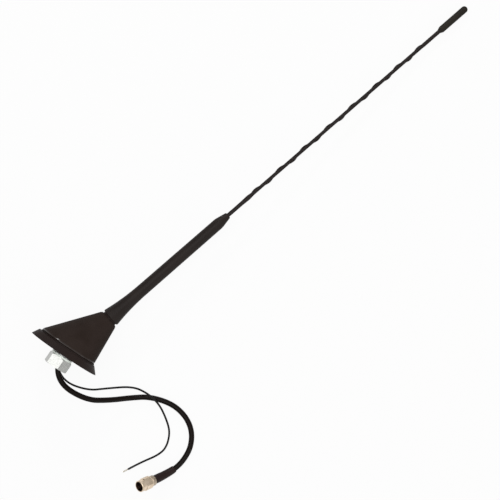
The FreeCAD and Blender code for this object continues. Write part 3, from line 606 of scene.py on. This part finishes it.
def line_points(route):
    """Points along the same spline, read from a copy with no thickness."""
    bare = lead_line("bare_line", route, 0)
    bare.data.use_fill_caps = False
    mesh = bpy.data.meshes.new_from_object(bare.evaluated_get(bpy.context.evaluated_depsgraph_get()))
    points = [vertex.co.copy() for vertex in mesh.vertices]
    bpy.data.objects.remove(bare)
    bpy.data.meshes.remove(mesh)
    return points


def tapered_tube(name, points, radii):
    """Tube along points, with a radius in millimetres by the distance from the first point."""
    reach = 0.0
    kept = []
    for before, point in zip([points[0]] + points, points):
        reach += (point - before).length / MM
        for (start, first), (end, last) in zip(radii, radii[1:]):
            if start <= reach <= end:
                share = (reach - start) / (end - start)
                kept.append((point, first + (last - first) * share))
                break
    tube, spline = new_line(name, "POLY", [point for point, radius in kept])
    for spot, (point, radius) in zip(spline.points, kept):
        spot.radius = radius
    tube.data.bevel_depth = MM
    tube.data.bevel_resolution = 10
    pick(tube)
    bpy.ops.object.convert(target="MESH")
    return soft_edges(bpy.context.active_object, 35)


coax = lead_line("coax_lead", COAX_ROUTE, COAX_THICKNESS)
dress(coax, "lead_jacket", "base")
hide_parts("coax_cable")

supply = lead_line("supply_lead", SUPPLY_ROUTE, SUPPLY_THICKNESS)
dress(supply, "wire_jacket", "base")
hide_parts("power_wire")

shrink = tapered_tube("shrink_sleeve", list(reversed(line_points(COAX_ROUTE))), SHRINK_RADII)
dress(shrink, "shrink_black", "base")
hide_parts("heat_shrink")


# Connector

def milled_flat(piece, turn):
    """Cuts a flat into a turned piece about +Z; turn is from +Y."""
    plain_selection()
    bpy.ops.mesh.primitive_cube_add(size=1)
    cutter = bpy.context.active_object
    size = (CUTTER_WIDTH * MM, CUTTER_DEPTH * MM, (FLAT_HIGH - FLAT_LOW) * MM)
    bpy.ops.transform.resize(value=size)
    bpy.ops.object.transform_apply(location=False, rotation=False, scale=True)
    middle = Matrix.Translation(
        (0, (FLAT_DISTANCE + CUTTER_DEPTH / 2) * MM, (FLAT_LOW + FLAT_HIGH) / 2 * MM)
    )
    place_piece(cutter, Matrix.Rotation(math.radians(turn), 4, "Z") @ middle)
    apply_modifier(piece, "BOOLEAN", operation="DIFFERENCE", solver="EXACT", object=cutter)
    bpy.data.objects.remove(cutter)


free_nut = turn_rings("free_nut", FREE_NUT_OUTLINE, CONNECTOR_SIDES)
for turn in FLAT_TURNS:
    milled_flat(free_nut, turn)
place_piece(free_nut, coupling_frame)
soft_edges(free_nut, 25)
dress(free_nut, "coupling_nickel", "coupling")
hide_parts("coupling_nut")

rear_ring = turn_rings("rear_ring", REAR_RING_OUTLINE, CONNECTOR_SIDES)
place_piece(rear_ring, coupling_frame)
soft_edges(rear_ring, 25)
dress(rear_ring, "nickel", "base")


# Whip: one smooth black skin over the sleeve and its winding

def push_out(piece, angle, distance):
    """In edit mode, moves the ring's corners at an angle outwards along +X."""
    bpy.ops.mesh.select_all(action="DESELECT")
    bpy.ops.object.mode_set(mode="OBJECT")
    for vertex in piece.data.vertices:
        turned = abs(math.degrees(math.atan2(vertex.co.y, vertex.co.x)))
        vertex.select = abs(turned - angle) < 1
    bpy.ops.object.mode_set(mode="EDIT")
    bpy.ops.transform.translate(value=(distance * MM, 0, 0))


def ridge_skin(name, start, end, pitch, start_angle):
    """Ring with one rounded bump, drawn along the whip while it turns."""
    plain_selection()
    bpy.ops.mesh.primitive_circle_add(vertices=SKIN_SIDES, radius=SKIN_RADIUS * MM)
    piece = bpy.context.active_object
    piece.name = name
    bpy.ops.object.mode_set(mode="EDIT")
    for angle, distance in RIDGE_BUMP:
        push_out(piece, angle, distance)
    bpy.ops.object.mode_set(mode="OBJECT")
    wind(piece, (end - start) / pitch, pitch, RIDGE_STEPS_PER_TURN)
    return place_piece(piece, along_axis(start) @ Matrix.Rotation(math.radians(start_angle), 4, "Z"))


def whip_skin():
    """Sleeve's two thick ends and the ridged length between them, joined as one skin."""
    lower = turn_rings("whip_skin_lower", LOWER_SKIN_OUTLINE, SKIN_SIDES)
    upper = turn_rings("whip_skin_upper", UPPER_SKIN_OUTLINE, SKIN_SIDES)
    step_angle = RIDGE_START_ANGLE + 360 * (RIDGE_STEP - RIDGE_START) / LOWER_PITCH
    ridges = [
        ridge_skin("ridge_lower", RIDGE_START, RIDGE_STEP, LOWER_PITCH, RIDGE_START_ANGLE),
        ridge_skin("ridge_upper", RIDGE_STEP, RIDGE_END, UPPER_PITCH, step_angle),
    ]
    skin = join_pieces([*ridges, lower, upper], "whip_skin")
    place_piece(skin, mast_frame)
    return soft_edges(skin, 50)


skin = whip_skin()
dress(skin, "sleeve_black", "mast")
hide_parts("whip_sleeve", "whip_winding")


# Screw threads

def thread_ridge(name, radius, depth, pitch, length):
    """Helical ridge of a screw thread about +Z, from 0 to its length, half sunk in the wall."""
    plain_selection()
    half_width = pitch * THREAD_HALF_WIDTH
    bpy.ops.mesh.primitive_circle_add(
        vertices=4, radius=half_width * MM, rotation=(math.radians(90), 0, 0),
        location=(radius * MM, 0, 0),
    )
    piece = bpy.context.active_object
    piece.name = name
    bpy.ops.object.transform_apply(location=False, rotation=True, scale=True)
    bpy.ops.object.mode_set(mode="EDIT")
    bpy.ops.mesh.select_all(action="SELECT")
    bpy.ops.transform.resize(value=(depth / half_width, 1, 1))
    bpy.ops.object.mode_set(mode="OBJECT")
    bpy.ops.object.transform_apply(location=True, rotation=True, scale=True)
    wind(piece, length / pitch - 1, pitch, THREAD_STEPS_PER_TURN)
    place_piece(piece, along_axis(pitch / 2))
    bpy.ops.object.mode_set(mode="EDIT")
    bpy.ops.mesh.select_all(action="DESELECT")
    bpy.ops.mesh.select_non_manifold()
    bpy.ops.mesh.edge_face_add()
    bpy.ops.mesh.select_all(action="SELECT")
    bpy.ops.mesh.normals_make_consistent(inside=False)
    bpy.ops.object.mode_set(mode="OBJECT")
    return piece


mast_thread = thread_ridge("mast_thread", *MAST_THREAD)
place_piece(mast_thread, mast_frame @ along_axis(MAST_THREAD_START))
dress(mast_thread, "brass", "mast")

mouth_thread = thread_ridge("mouth_thread", *MOUTH_THREAD)
place_piece(mouth_thread, coupling_frame @ along_axis(MOUTH_THREAD_START))
dress(mouth_thread, "coupling_nickel", "coupling")
